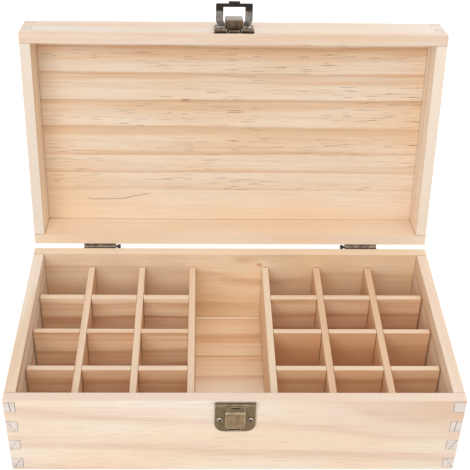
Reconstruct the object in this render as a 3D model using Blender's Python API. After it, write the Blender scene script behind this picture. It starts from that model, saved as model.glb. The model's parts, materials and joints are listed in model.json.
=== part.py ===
"""Hinged pine storage box for essential oil bottles.

Units are metres.  X runs along the box, Y from front to back, Z up.
The origin is the middle of the underside of the box.
Every piece is modelled with the box closed and latched.  The lid, the bail
and the lever hang on empties at their pivots, which then turn them to rest.
"""

import math

import bmesh
import bpy
from mathutils import Matrix, Vector

# Box
BOX_WIDTH = 0.295
BOX_DEPTH = 0.1612
BASE_HEIGHT = 0.0641
LID_HEIGHT = 0.0308
WALL_THICKNESS = 0.0075
PANEL_THICKNESS = 0.0032
PANEL_REBATE = 0.0035
CLOSED_GAP = 0.0003
GLUE_LINE = 0.00015
LID_OPEN_DEGREES = 99.5

# Finger joints at the corners
FINGER_HEIGHT = 0.00865
FIRST_FINGER_UP = 0.0020
LEAST_FINGER = 0.0007

# Two egg-crate grids of dividers and cross strips, with an open bay between them
MIDDLE_BAY_WIDTH = 0.0503
MIDDLE_BAY_OFF_CENTRE = -0.0013
DIVIDERS_PER_GRID = 3
STRIPS_PER_GRID = 3
DIVIDER_THICKNESS = 0.0046
STRIP_THICKNESS = 0.0043
GRID_HEIGHT = 0.0488
GRID_GAP = 0.0003
STRIP_END_GAP = 0.0013
LAP_CLEARANCE = 0.00015

# Hinges on the back
HINGE_INSET = 0.049
HINGE_LENGTH = 0.024
HINGE_KNUCKLES = 4
HINGE_BARREL_RADIUS = 0.0019
HINGE_PIN_RADIUS = 0.0009
HINGE_PIN_STAND = 0.0013
HINGE_HEAD_LENGTH = 0.0021
HINGE_HEAD_RADIUS = 0.0016
HINGE_LEAF_THICKNESS = 0.0009
HINGE_LEAF_HEIGHT = 0.0098
HINGE_CORNER_RADIUS = 0.0014
HINGE_SCREW_SPACING = 0.0140
HINGE_SCREW_REACH = 0.0064
KNUCKLE_GAP = 0.0003

# Screws
SCREW_HEAD_RADIUS = 0.0020
SCREW_HEAD_HEIGHT = 0.0011
SCREW_SHANK_RADIUS = 0.0008
SCREW_LENGTH = 0.0058
SCREW_SLOT_WIDTH = 0.0005
SCREW_SLOT_DEPTH = 0.0006
SCREW_SLOT_SHARE = 0.62
SCREW_DOME_STEPS = 4

# Sheet metal of the latch
METAL_THICKNESS = 0.0009
SEAT_GAP = 0.00015
RUNNING_GAP = 0.0002

# Catch plate on the front of the base
CATCH_WIDTH = 0.0264
CATCH_HEIGHT = 0.0258
CATCH_BELOW_RIM = 0.0010
CATCH_CORNER_RADIUS = 0.0065
CATCH_KNUCKLE_RADIUS = 0.0016
CATCH_SCREW_SPACING = 0.0198
CATCH_SCREW_BELOW_RIM = 0.0157
CATCH_RIB_WIDTH = 0.0078
CATCH_RIB_HEIGHT = 0.0011
CATCH_RIB_STAND = 0.0007
CATCH_RIB_UP = 0.0010

# Lever that swings on the catch plate
LEVER_WIDTH = 0.0125
LEVER_LENGTH = 0.0188
LEVER_KNUCKLE_RADIUS = 0.0016
LEVER_KNUCKLE_ARC = (45, 285, 14)
LEVER_PIN_RADIUS = 0.0008
LEVER_RIDGE_STAND = 0.0044
LEVER_TIP_STAND = 0.0040
LEVER_LIP_STAND = 0.0046
LEVER_LIP_HEIGHT = 0.0017
LEVER_GROOVE_HEIGHT = 0.0041
LEVER_CORNER_RADIUS = 0.0024
LEVER_SLOT_WIDTH = 0.0060
LEVER_SLOT_HEIGHT = 0.0008

# Bail plate on the front of the lid
BAIL_PLATE_WIDTH = 0.0274
BAIL_PLATE_HEIGHT = 0.0204
BAIL_PLATE_ABOVE_RIM = 0.0006
BAIL_PLATE_CORNER_RADIUS = 0.0030
BAIL_SCREW_SPACING = 0.0198
BAIL_SCREW_ABOVE_RIM = 0.0120
FOOT_RADIUS = 0.0014
FOOT_START = 0.0050
LIP_ROLL_RADIUS = 0.0009
LIP_ROLL_WIDTH = 0.0072
NOTCH_HEIGHT = 0.0026

# Hood of the bail plate, which carries the bail
HOOD_WIDTH = 0.0128
HOOD_ABOVE_RIM = 0.0060
HOOD_LENGTH = 0.0120
HOOD_STAND = 0.0083
HOOD_TIP_STAND = 0.0078
HOOD_CHEEK_LENGTH = 0.0052
HOOD_CORNER_RADIUS = 0.0012

# Bail
BAIL_PIVOT_ABOVE_RIM = 0.0085
BAIL_PIVOT_STAND = 0.0044
BAIL_PIVOT_RADIUS = 0.0006
BAIL_WIDTH = 0.0253
BAIL_WINDOW_WIDTH = 0.0150
BAIL_BAR_HEIGHT = 0.0024
BAIL_THICKNESS = 0.0010
BAIL_EYE_RADIUS = 0.0012
BAIL_CORNER_RADIUS = 0.0044
BAIL_TOP_CORNER_RADIUS = 0.0008
BAIL_TAB_WIDTH = 0.0078
BAIL_TAB_REACH = 0.0013
BAIL_TAB_THICKNESS = 0.0006
BAIL_REST_DEGREES = 90.0

# Overrun of every cutter, fineness of circles and arcs, and the angle of a real edge
OVERRUN = 0.001
CIRCLE_SIDES = 24
SMALL_CIRCLE_SIDES = 14
CORNER_STEPS = 6
ROUND_TIP_STEPS = 4
SMALL_CORNER_STEPS = 3
EDGE_DEGREES = 35

# Places worked out from the sizes above
FRONT_Y = -BOX_DEPTH / 2
BACK_Y = BOX_DEPTH / 2
LID_Z = BASE_HEIGHT + CLOSED_GAP
TOP_Z = LID_Z + LID_HEIGHT
INNER_X = BOX_WIDTH / 2 - WALL_THICKNESS
INNER_Y = BOX_DEPTH / 2 - WALL_THICKNESS
GRID_Z = PANEL_THICKNESS + GRID_GAP
PLATE_FACE = SEAT_GAP + METAL_THICKNESS
HINGE_Y = BACK_Y + 2 * SEAT_GAP + HINGE_BARREL_RADIUS
HINGE_Z = BASE_HEIGHT + CLOSED_GAP / 2
LEVER_PIN_STAND = 2 * SEAT_GAP + max(LEVER_KNUCKLE_RADIUS, CATCH_KNUCKLE_RADIUS)
LEVER_PIN_Z = BASE_HEIGHT - CATCH_BELOW_RIM - LEVER_KNUCKLE_RADIUS
LIP_UNDER_Z = LEVER_PIN_Z - LEVER_PIN_RADIUS / 2
BAR_TOP_Z = LIP_UNDER_Z - RUNNING_GAP
BAR_BOTTOM_Z = BAR_TOP_Z - BAIL_BAR_HEIGHT
BAIL_PIVOT_Z = LID_Z + BAIL_PIVOT_ABOVE_RIM
GROOVE_STAND = BAIL_PIVOT_STAND - BAIL_THICKNESS / 2 - RUNNING_GAP


def material(name, colour, roughness, metallic):
    """Make a plain Principled material."""
    made = bpy.data.materials.new(name)
    made.use_nodes = True
    shader = made.node_tree.nodes["Principled BSDF"]
    shader.inputs["Base Color"].default_value = (*colour, 1.0)
    shader.inputs["Roughness"].default_value = roughness
    shader.inputs["Metallic"].default_value = metallic
    made.diffuse_color = (*colour, 1.0)
    return made


def make_object(name, shape, finish=None):
    """Turn a bmesh into a named object with its faces pointing out."""
    bmesh.ops.recalc_face_normals(shape, faces=shape.faces[:])
    mesh = bpy.data.meshes.new(name)
    shape.to_mesh(mesh)
    shape.free()
    made = bpy.data.objects.new(name, mesh)
    bpy.context.scene.collection.objects.link(made)
    if finish is not None:
        mesh.materials.append(finish)
    return made


def loft(name, sections, finish=None):
    """Join closed loops of points, each to the next, and cap both ends."""
    shape = bmesh.new()
    rings = [[shape.verts.new(point) for point in section] for section in sections]
    for ring, following in zip(rings, rings[1:]):
        for index in range(len(ring)):
            after = (index + 1) % len(ring)
            shape.faces.new((ring[index], ring[after], following[after], following[index]))
    shape.faces.new(rings[0])
    shape.faces.new(rings[-1])
    return make_object(name, shape, finish)


def prism(name, outline, axis, low, high, finish=None):
    """Extrude an outline along one axis.  The outline gives the other two, in order."""
    def place(pair, along):
        values = list(pair)
        values.insert("XYZ".index(axis), along)
        return Vector(values)
    sections = [[place(pair, along) for pair in outline] for along in (low, high)]
    return loft(name, sections, finish)


def block(name, low, high, finish=None):
    """Make a plain box between two corners."""
    outline = [(low[0], low[1]), (high[0], low[1]), (high[0], high[1]), (low[0], high[1])]
    return prism(name, outline, "Z", low[2], high[2], finish)


def arc(centre, radius, start, end, steps):
    """Points along an arc, angles in degrees, both ends included."""
    points = []
    for step in range(steps + 1):
        angle = math.radians(start + (end - start) * step / steps)
        points.append((centre[0] + radius * math.cos(angle),
                       centre[1] + radius * math.sin(angle)))
    return points


def rounded_rectangle(low, high, lower_radius, upper_radius):
    """Outline of a rectangle whose lower and upper corners have their own radius."""
    outline = []
    corners = [(high[0], low[1], lower_radius, -1, 1, -90),
               (high[0], high[1], upper_radius, -1, -1, 0),
               (low[0], high[1], upper_radius, 1, -1, 90),
               (low[0], low[1], lower_radius, 1, 1, 180)]
    for across, up, radius, to_left, to_up, start in corners:
        centre = (across + to_left * radius, up + to_up * radius)
        if radius > 0:
            outline += arc(centre, radius, start, start + 90, CORNER_STEPS)
        else:
            outline.append(centre)
    return outline


def rod(name, axis, centre, radius, low, high, finish=None, sides=CIRCLE_SIDES):
    """Make a cylinder along an axis, its centre given in the other two."""
    outline = arc(centre, radius, 0, 360, sides)[:-1]
    return prism(name, outline, axis, low, high, finish)


def combine(target, others, operation):
    """Apply one exact Boolean after another, and remove the tools."""
    for other in others:
        step = target.modifiers.new(operation.title(), "BOOLEAN")
        step.operation = operation
        step.solver = "EXACT"
        step.object = other
    bpy.context.view_layer.update()
    graph = bpy.context.evaluated_depsgraph_get()
    result = bpy.data.meshes.new_from_object(target.evaluated_get(graph))
    target.modifiers.clear()
    target.data = result
    for other in others:
        bpy.data.objects.remove(other)
    return target


def cut(target, *cutters):
    """Take the cutters away from an object."""
    return combine(target, cutters, "DIFFERENCE")


def weld(target, *others):
    """Join other solids to an object."""
    return combine(target, others, "UNION")


def round_shading(target):
    """Shade curved sides smooth and keep real edges sharp."""
    target.data.shade_smooth()
    target.data.set_sharp_from_angle(angle=math.radians(EDGE_DEGREES))
    return target


def pivot(name, place, degrees, parent=None):
    """Put an empty on a joint's axis, turned about X from closed to rest."""
    empty = bpy.data.objects.new(name, None)
    empty.empty_display_size = WALL_THICKNESS
    bpy.context.scene.collection.objects.link(empty)
    empty.location = Vector(place)
    empty.rotation_euler = (math.radians(degrees), 0, 0)
    if parent is not None:
        empty.parent = parent
        empty.matrix_parent_inverse = Matrix.Translation(-parent.location)
    return empty


def hang(pieces, empty):
    """Parent pieces, modelled closed, to the empty of their joint."""
    for piece in pieces:
        piece.parent = empty
        piece.matrix_parent_inverse = Matrix.Translation(-empty.location)


def front(stand):
    """Y of a point that stands out of the front face by some length."""
    return FRONT_Y - stand


def joint_heights(low, high):
    """Heights where the corner fingers change over, and who owns the span above each."""
    changes = []
    height = FIRST_FINGER_UP
    side_is_above = True
    while height < high - LEAST_FINGER:
        if height > low + LEAST_FINGER:
            changes.append((height, side_is_above))
        height += FINGER_HEIGHT
        side_is_above = not side_is_above
    return changes


def finger_outline(half_length, low, high, is_side):
    """Outline of a wall with fingers at both ends, as (along, height) points."""
    changes = joint_heights(low, high)
    short = half_length - WALL_THICKNESS - GLUE_LINE
    first_owner_is_side = not changes[0][1]
    reach = half_length if first_owner_is_side == is_side else short
    right = [(reach, low)]
    for height, side_is_above in changes:
        owns = side_is_above == is_side
        height += GLUE_LINE / 2 if owns else -GLUE_LINE / 2
        right.append((reach, height))
        reach = half_length if owns else short
        right.append((reach, height))
    right.append((reach, high))
    return right + [(-along, height) for along, height in reversed(right)]


def walls(prefix, low, high, wood):
    """Make the four finger-jointed walls of the base or the lid."""
    long_outline = finger_outline(BOX_WIDTH / 2, low, high, False)
    short_outline = finger_outline(BOX_DEPTH / 2, low, high, True)
    return {
        "front": prism(prefix + "_front", long_outline, "Y", FRONT_Y, -INNER_Y, wood),
        "back": prism(prefix + "_back", long_outline, "Y", INNER_Y, BACK_Y, wood),
        "left": prism(prefix + "_left_side", short_outline, "X", -BOX_WIDTH / 2, -INNER_X, wood),
        "right": prism(prefix + "_right_side", short_outline, "X", INNER_X, BOX_WIDTH / 2, wood),
    }


def panel(name, low, high, open_end, wall_set, wood):
    """Let a thin panel into a rebate in four walls, flush with their outer edge."""
    far_x = INNER_X + PANEL_REBATE
    far_y = INNER_Y + PANEL_REBATE
    made = block(name, (GLUE_LINE - far_x, GLUE_LINE - far_y, low),
                 (far_x - GLUE_LINE, far_y - GLUE_LINE, high), wood)
    if open_end == "below":
        low, high = low - OVERRUN, high + GLUE_LINE
    else:
        low, high = low - GLUE_LINE, high + OVERRUN
    for wall in wall_set.values():
        cut(wall, block("rebate", (-far_x, -far_y, low), (far_x, far_y, high)))
    return made


def bay_edge(side):
    """How far the middle bay's edge is from the box's middle, on the left (-1) or right (1)."""
    return MIDDLE_BAY_WIDTH / 2 + side * MIDDLE_BAY_OFF_CENTRE


def divider_places(side):
    """How far each divider's middle is from the box's middle, from the bay outwards."""
    inner_face = bay_edge(side)
    room = INNER_X - inner_face - DIVIDERS_PER_GRID * DIVIDER_THICKNESS
    cell = room / DIVIDERS_PER_GRID
    pitch = cell + DIVIDER_THICKNESS
    return [inner_face + DIVIDER_THICKNESS / 2 + pitch * n for n in range(DIVIDERS_PER_GRID)]


def strip_places():
    """Y of each cross strip's middle, from front to back."""
    cell = (2 * INNER_Y - STRIPS_PER_GRID * STRIP_THICKNESS) / (STRIPS_PER_GRID + 1)
    pitch = cell + STRIP_THICKNESS
    return [pitch * (n + 1) - INNER_Y - STRIP_THICKNESS / 2 for n in range(STRIPS_PER_GRID)]


def divider(name, middle, wood):
    """A board from front to back, slotted from below for the cross strips."""
    top = GRID_Z + GRID_HEIGHT
    slot_top = GRID_Z + GRID_HEIGHT / 2 + LAP_CLEARANCE / 2
    slot_half = STRIP_THICKNESS / 2 + LAP_CLEARANCE
    end = INNER_Y - GRID_GAP
    outline = [(-end, GRID_Z)]
    for place in strip_places():
        outline += [(place - slot_half, GRID_Z), (place - slot_half, slot_top),
                    (place + slot_half, slot_top), (place + slot_half, GRID_Z)]
    outline += [(end, GRID_Z), (end, top), (-end, top)]
    return prism(name, outline, "X", middle - DIVIDER_THICKNESS / 2,
                 middle + DIVIDER_THICKNESS / 2, wood)


def strip(name, side, middle, wood):
    """A board across one grid, slotted from above for the dividers."""
    top = GRID_Z + GRID_HEIGHT
    slot_bottom = GRID_Z + GRID_HEIGHT / 2 - LAP_CLEARANCE / 2
    slot_half = DIVIDER_THICKNESS / 2 + LAP_CLEARANCE
    end = INNER_X - STRIP_END_GAP
    start = bay_edge(side)
    outline = [(end, GRID_Z), (end, top)]
    for place in reversed(divider_places(side)[1:]):
        outline += [(place + slot_half, top), (place + slot_half, slot_bottom),
                    (place - slot_half, slot_bottom), (place - slot_half, top)]
    inner_end = divider_places(side)[0] + slot_half
    outline += [(inner_end, top), (inner_end, slot_bottom), (start, slot_bottom), (start, GRID_Z)]
    outline = [(side * along, height) for along, height in outline]
    return prism(name, outline, "Y", middle - STRIP_THICKNESS / 2,
                 middle + STRIP_THICKNESS / 2, wood)


def grid(prefix, side, wood):
    """One egg-crate grid: its dividers, then its cross strips."""
    pieces = []
    for number, place in enumerate(divider_places(side), 1):
        pieces.append(divider(f"{prefix}_divider_{number}", side * place, wood))
    for number, place in enumerate(strip_places(), 1):
        pieces.append(strip(f"{prefix}_cross_strip_{number}", side, place, wood))
    return pieces


def screw(name, across, height, face, outward, metal):
    """A round-headed screw with a crossed recess, driven into the front or the back."""
    seat = face + SEAT_GAP
    rise = SCREW_HEAD_HEIGHT
    tip = seat - SCREW_LENGTH
    taper = SCREW_SHANK_RADIUS * 2
    profile = [(0, tip), (SCREW_SHANK_RADIUS / 2, tip + taper / 2),
               (SCREW_SHANK_RADIUS, tip + taper), (SCREW_SHANK_RADIUS, seat)]
    for cosine, sine in arc((0, 0), 1, 0, 90, SCREW_DOME_STEPS)[:-1]:
        profile.append((SCREW_HEAD_RADIUS * cosine, seat + rise * sine))
    profile.append((0, seat + rise))
    made = turned(name, profile, across, height, outward, metal)
    slot_half = SCREW_SLOT_WIDTH / 2
    slot_reach = SCREW_HEAD_RADIUS * SCREW_SLOT_SHARE
    near = outward * (seat + rise - SCREW_SLOT_DEPTH)
    far = outward * (seat + rise + OVERRUN)
    low_y, high_y = sorted((near, far))
    flat = block("slot", (across - slot_reach, low_y, height - slot_half),
                 (across + slot_reach, high_y, height + slot_half))
    upright = block("slot", (across - slot_half, low_y, height - slot_reach),
                    (across + slot_half, high_y, height + slot_reach))
    return round_shading(cut(made, weld(flat, upright)))


def turned(name, profile, across, height, outward, metal):
    """Turn a profile of (radius, distance from the middle of the box) points."""
    shape = bmesh.new()
    rings = []
    for radius, distance in profile:
        along = outward * distance
        if radius == 0:
            rings.append([shape.verts.new((across, along, height))])
            continue
        ring = []
        for x, z in arc((across, height), radius, 0, 360, SMALL_CIRCLE_SIDES)[:-1]:
            ring.append(shape.verts.new((x, along, z)))
        rings.append(ring)
    for ring, following in zip(rings, rings[1:]):
        for index in range(SMALL_CIRCLE_SIDES):
            after = (index + 1) % SMALL_CIRCLE_SIDES
            corners = [ring[index % len(ring)], ring[after % len(ring)],
                       following[after % len(following)], following[index % len(following)]]
            shape.faces.new(list(dict.fromkeys(corners)))
    return make_object(name, shape, metal)


def pilot_hole(across, height, face, outward, depth):
    """Cutter for a screw's hole, from outside a face to some depth below it."""
    low, high = sorted((outward * (face + OVERRUN), outward * (face - depth)))
    radius = SCREW_SHANK_RADIUS + SEAT_GAP
    return rod("pilot", "Y", (across, height), radius, low, high, sides=SMALL_CIRCLE_SIDES)


def hinge_leaf(name, middle, is_lid, mirror, metal):
    """Half of a hinge: a flat leaf with every other knuckle of the barrel."""
    up = 1 if is_lid else -1
    low_y = BACK_Y + SEAT_GAP
    high_y = low_y + HINGE_LEAF_THICKNESS
    left = middle - HINGE_LENGTH / 2
    right = middle + HINGE_LENGTH / 2
    near = HINGE_Z + up * KNUCKLE_GAP
    far = HINGE_Z + up * HINGE_LEAF_HEIGHT
    low_z, high_z = sorted((near, far))
    radii = (0, HINGE_CORNER_RADIUS) if is_lid else (HINGE_CORNER_RADIUS, 0)
    outline = rounded_rectangle((left, low_z), (right, high_z), *radii)
    leaf = prism(name, outline, "Y", low_y, high_y, metal)
    centre = (HINGE_Y, HINGE_Z)
    knuckle = HINGE_LENGTH / HINGE_KNUCKLES
    own, rooms = [], []
    for number in range(HINGE_KNUCKLES):
        start = left + knuckle * number
        end = start + knuckle
        place = HINGE_KNUCKLES - 1 - number if mirror else number
        if (place % 2 == 1) == is_lid:
            own.append(rod("knuckle", "X", centre, HINGE_BARREL_RADIUS,
                           start + KNUCKLE_GAP / 2, end - KNUCKLE_GAP / 2))
        else:
            at_end = OVERRUN if number == HINGE_KNUCKLES - 1 else KNUCKLE_GAP / 4
            at_start = OVERRUN if number == 0 else KNUCKLE_GAP / 4
            rooms.append(rod("room", "X", centre, HINGE_BARREL_RADIUS + KNUCKLE_GAP,
                             start - at_start, end + at_end))
    cut(leaf, *rooms)
    weld(leaf, *own)
    bore = rod("bore", "X", centre, HINGE_PIN_RADIUS + RUNNING_GAP, left - OVERRUN, right + OVERRUN)
    cut(leaf, bore)
    height = HINGE_Z + up * HINGE_SCREW_REACH
    for across in hinge_screw_places(middle):
        cut(leaf, pilot_hole(across, height, high_y, 1, HINGE_LEAF_THICKNESS + OVERRUN))
    return round_shading(leaf)


def hinge_screw_places(middle):
    """X of the two screws in one hinge leaf."""
    return (middle - HINGE_SCREW_SPACING / 2, middle + HINGE_SCREW_SPACING / 2)


def hinge_pin(name, middle, side, metal):
    """A pin with a long head that stands out towards the middle of the box."""
    centre = (HINGE_Y, HINGE_Z)
    outer = middle + side * HINGE_LENGTH / 2
    neck = middle - side * (HINGE_LENGTH / 2 + HINGE_PIN_STAND)
    head_end = neck - side * HINGE_HEAD_LENGTH
    pin = rod(name, "X", centre, HINGE_PIN_RADIUS, *sorted((outer, neck - side * METAL_THICKNESS)),
              metal)
    head = rod("head", "X", centre, HINGE_HEAD_RADIUS, *sorted((neck, head_end)))
    return round_shading(weld(pin, head))


def hinge(prefix, side, base_back, lid_back, metal):
    """One hinge with its screws.  Gives the pieces of the base and of the lid."""
    middle = side * (BOX_WIDTH / 2 - HINGE_INSET)
    face = BACK_Y + SEAT_GAP + HINGE_LEAF_THICKNESS
    sets = []
    for is_lid, part, wall in ((False, "base", base_back), (True, "lid", lid_back)):
        leaf = hinge_leaf(f"{prefix}_hinge_{part}_leaf", middle, is_lid, side > 0, metal)
        height = HINGE_Z + (1 if is_lid else -1) * HINGE_SCREW_REACH
        pieces = [leaf]
        for number, across in enumerate(hinge_screw_places(middle), 1):
            name = f"{prefix}_hinge_{part}_screw_{number}"
            pieces.append(screw(name, across, height, face, 1, metal))
            cut(wall, pilot_hole(across, height, BACK_Y, 1, SCREW_LENGTH - HINGE_LEAF_THICKNESS))
        sets.append(pieces)
    sets[0].append(hinge_pin(f"{prefix}_hinge_pin", middle, side, metal))
    return sets


def latch_screws(prefix, spacing, height, wall, plate, metal):
    """Two screws through a latch plate into the front of the base or the lid."""
    pieces = []
    face = -FRONT_Y + PLATE_FACE
    for number, across in enumerate((-spacing / 2, spacing / 2), 1):
        pieces.append(screw(f"{prefix}_screw_{number}", across, height, face, -1, metal))
        cut(wall, pilot_hole(across, height, -FRONT_Y, -1, SCREW_LENGTH - METAL_THICKNESS))
        cut(plate, pilot_hole(across, height, face, -1, METAL_THICKNESS + OVERRUN))
    return pieces


def catch_plate(metal):
    """Plate on the base: two knuckles for the lever's pin and a rib under its tip."""
    half = CATCH_WIDTH / 2
    bottom = BASE_HEIGHT - CATCH_BELOW_RIM - CATCH_HEIGHT
    outline = rounded_rectangle((-half, bottom), (half, LEVER_PIN_Z), CATCH_CORNER_RADIUS, 0)
    plate = prism("latch_catch_plate", outline, "Y", front(PLATE_FACE), front(SEAT_GAP), metal)
    rib_low = bottom + CATCH_RIB_UP
    rib = block("rib", (-CATCH_RIB_WIDTH / 2, front(PLATE_FACE + CATCH_RIB_STAND), rib_low),
                (CATCH_RIB_WIDTH / 2, front(PLATE_FACE - METAL_THICKNESS / 2),
                 rib_low + CATCH_RIB_HEIGHT))
    centre = (front(LEVER_PIN_STAND), LEVER_PIN_Z)
    room = LEVER_WIDTH / 2 + KNUCKLE_GAP
    knuckles = [rod("knuckle", "X", centre, CATCH_KNUCKLE_RADIUS, low, high)
                for low, high in ((-half, -room), (room, half))]
    weld(plate, rib, *knuckles)
    bore = rod("bore", "X", centre, LEVER_PIN_RADIUS + RUNNING_GAP, -half - OVERRUN, half + OVERRUN)
    notch = block("notch", (-room, front(PLATE_FACE + OVERRUN),
                            LEVER_PIN_Z - LEVER_KNUCKLE_RADIUS - KNUCKLE_GAP),
                  (room, front(-OVERRUN), LEVER_PIN_Z + OVERRUN))
    return cut(plate, notch, bore)


def lever_section(drop):
    """Closed outline of the lever, as (stand, height) points.

    It runs from the lip, round the knuckle, down the inner face to the tip
    and back up the outer face to the groove that holds the bail.
    The tip is shortened by the drop, which rounds its corners.
    """
    thick = METAL_THICKNESS
    radius = LEVER_KNUCKLE_RADIUS
    centre = (LEVER_PIN_STAND, LEVER_PIN_Z)
    lip_top = LIP_UNDER_Z + LEVER_LIP_HEIGHT
    ridge_z = LIP_UNDER_Z - LEVER_GROOVE_HEIGHT
    shoulder_z = ridge_z - thick / 2
    tip_z = LEVER_PIN_Z - LEVER_LENGTH + drop
    lip_round = thick / 3
    points = [(GROOVE_STAND, LIP_UNDER_Z),
              (LEVER_LIP_STAND - lip_round, LIP_UNDER_Z),
              (LEVER_LIP_STAND, LIP_UNDER_Z + lip_round),
              (LEVER_LIP_STAND - lip_round, lip_top)]
    points += arc(centre, radius, *LEVER_KNUCKLE_ARC)
    points += [(GROOVE_STAND - thick, LEVER_PIN_Z - radius),
               (GROOVE_STAND - thick, ridge_z),
               (LEVER_RIDGE_STAND - thick, shoulder_z - thick / 2)]
    points += arc((LEVER_TIP_STAND - thick / 2, tip_z + thick / 2), thick / 2, 180, 360,
                  ROUND_TIP_STEPS)
    points += [(LEVER_RIDGE_STAND, shoulder_z - thick / 2),
               (LEVER_RIDGE_STAND - thick / 6, shoulder_z),
               (GROOVE_STAND, ridge_z)]
    return points


def corner_drops(half, radius):
    """Stations across a piece, and how far its corners have dropped at each."""
    right = []
    for step in range(CORNER_STEPS):
        angle = math.radians(90 * step / (CORNER_STEPS - 1))
        right.append((half - radius + radius * math.sin(angle), radius - radius * math.cos(angle)))
    return [(-across, drop) for across, drop in reversed(right)] + right


def latch_lever(metal):
    """Lever with a knuckle, a slotted lip, a groove for the bail and a long tongue."""
    sections = []
    for across, drop in corner_drops(LEVER_WIDTH / 2, LEVER_CORNER_RADIUS):
        sections.append([Vector((across, front(stand), height))
                         for stand, height in lever_section(drop)])
    lever = loft("latch_lever", sections, metal)
    reach = LEVER_WIDTH / 2 + OVERRUN
    bore = rod("bore", "X", (front(LEVER_PIN_STAND), LEVER_PIN_Z),
               LEVER_PIN_RADIUS + RUNNING_GAP, -reach, reach)
    slot_low = LIP_UNDER_Z + (LEVER_LIP_HEIGHT - LEVER_SLOT_HEIGHT) / 2
    slot = block("slot", (-LEVER_SLOT_WIDTH / 2, front(LEVER_LIP_STAND + OVERRUN), slot_low),
                 (LEVER_SLOT_WIDTH / 2,
                  front(LEVER_PIN_STAND + LEVER_PIN_RADIUS + RUNNING_GAP + METAL_THICKNESS / 2),
                  slot_low + LEVER_SLOT_HEIGHT))
    return round_shading(cut(lever, bore, slot))


def lever_pin(metal):
    """Pin of the lever, held in the catch plate's knuckles."""
    half = CATCH_WIDTH / 2
    centre = (front(LEVER_PIN_STAND), LEVER_PIN_Z)
    return round_shading(rod("latch_lever_pin", "X", centre, LEVER_PIN_RADIUS, -half, half, metal))


def hood_section(drop):
    """Closed outline of the hood before it is hollowed, as (stand, height) points."""
    thick = METAL_THICKNESS
    low = LID_Z + HOOD_ABOVE_RIM
    cheek = low + HOOD_CHEEK_LENGTH
    tip_z = low + HOOD_LENGTH - drop
    slope = (HOOD_STAND - HOOD_TIP_STAND) / HOOD_LENGTH
    under = HOOD_STAND - thick - slope * HOOD_CHEEK_LENGTH - drop
    foot = PLATE_FACE - thick / 2
    points = [(foot, low), (HOOD_STAND - thick - drop, low)]
    points += arc((HOOD_STAND - thick - drop, low + thick), thick, -60, 0,
                  SMALL_CORNER_STEPS)
    points += arc((HOOD_TIP_STAND - thick / 2 - drop, tip_z - thick / 2), thick / 2, 0, 180,
                  ROUND_TIP_STEPS)
    points += [(under, cheek), (foot, cheek)]
    return points


def bail_plate(metal):
    """Plate on the lid: rolled feet at the rim and a hood that carries the bail."""
    half = BAIL_PLATE_WIDTH / 2
    low = LID_Z + BAIL_PLATE_ABOVE_RIM
    high = low + BAIL_PLATE_HEIGHT
    outline = rounded_rectangle((-half, low + FOOT_RADIUS), (half, high), 0,
                                BAIL_PLATE_CORNER_RADIUS)
    plate = prism("latch_bail_plate", outline, "Y", front(PLATE_FACE), front(SEAT_GAP), metal)
    foot_centre = (front(2 * SEAT_GAP + FOOT_RADIUS), low + FOOT_RADIUS)
    feet = [rod("foot", "X", foot_centre, FOOT_RADIUS, start, end)
            for start, end in ((-half, -FOOT_START), (FOOT_START, half))]
    lip_centre = (front(2 * SEAT_GAP + LIP_ROLL_RADIUS), low + FOOT_RADIUS)
    lip = rod("lip", "X", lip_centre, LIP_ROLL_RADIUS, -LIP_ROLL_WIDTH / 2, LIP_ROLL_WIDTH / 2)
    notches = [block("notch", (start, front(PLATE_FACE + OVERRUN), low - OVERRUN),
                     (end, front(-OVERRUN), low + NOTCH_HEIGHT))
               for start, end in ((-FOOT_START, -LIP_ROLL_WIDTH / 2),
                                  (LIP_ROLL_WIDTH / 2, FOOT_START))]
    sections = []
    for across, drop in corner_drops(HOOD_WIDTH / 2, HOOD_CORNER_RADIUS):
        sections.append([Vector((across, front(stand), height))
                         for stand, height in hood_section(drop)])
    hood = loft("hood", sections)
    weld(plate, lip, *feet, hood)
    cut(plate, *notches)
    roll = FOOT_RADIUS - METAL_THICKNESS
    cut(plate, *[rod("roll", "X", foot_centre, roll, start, end, sides=SMALL_CIRCLE_SIDES)
                 for start, end in ((-half - OVERRUN, -FOOT_START), (FOOT_START, half + OVERRUN))])
    hollow_hood(plate)
    return plate


def hollow_hood(plate):
    """Empty the hood between its cheeks, and bore the cheeks for the bail."""
    thick = METAL_THICKNESS
    low = LID_Z + HOOD_ABOVE_RIM + thick
    far = LID_Z + HOOD_ABOVE_RIM + HOOD_CHEEK_LENGTH + thick / 2
    slope = (HOOD_STAND - HOOD_TIP_STAND) / HOOD_LENGTH
    top_low = HOOD_STAND - thick - slope * thick
    top_far = HOOD_STAND - thick - slope * (HOOD_CHEEK_LENGTH + thick / 2)
    outline = [(front(-OVERRUN), low), (front(top_low), low), (front(top_far), far),
               (front(-OVERRUN), far)]
    reach = HOOD_WIDTH / 2 - thick
    hollow = prism("hollow", outline, "X", -reach, reach)
    bore = rod("bore", "X", (front(BAIL_PIVOT_STAND), BAIL_PIVOT_Z),
               BAIL_PIVOT_RADIUS + RUNNING_GAP, -HOOD_WIDTH, HOOD_WIDTH, sides=SMALL_CIRCLE_SIDES)
    return cut(plate, hollow, bore)


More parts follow.
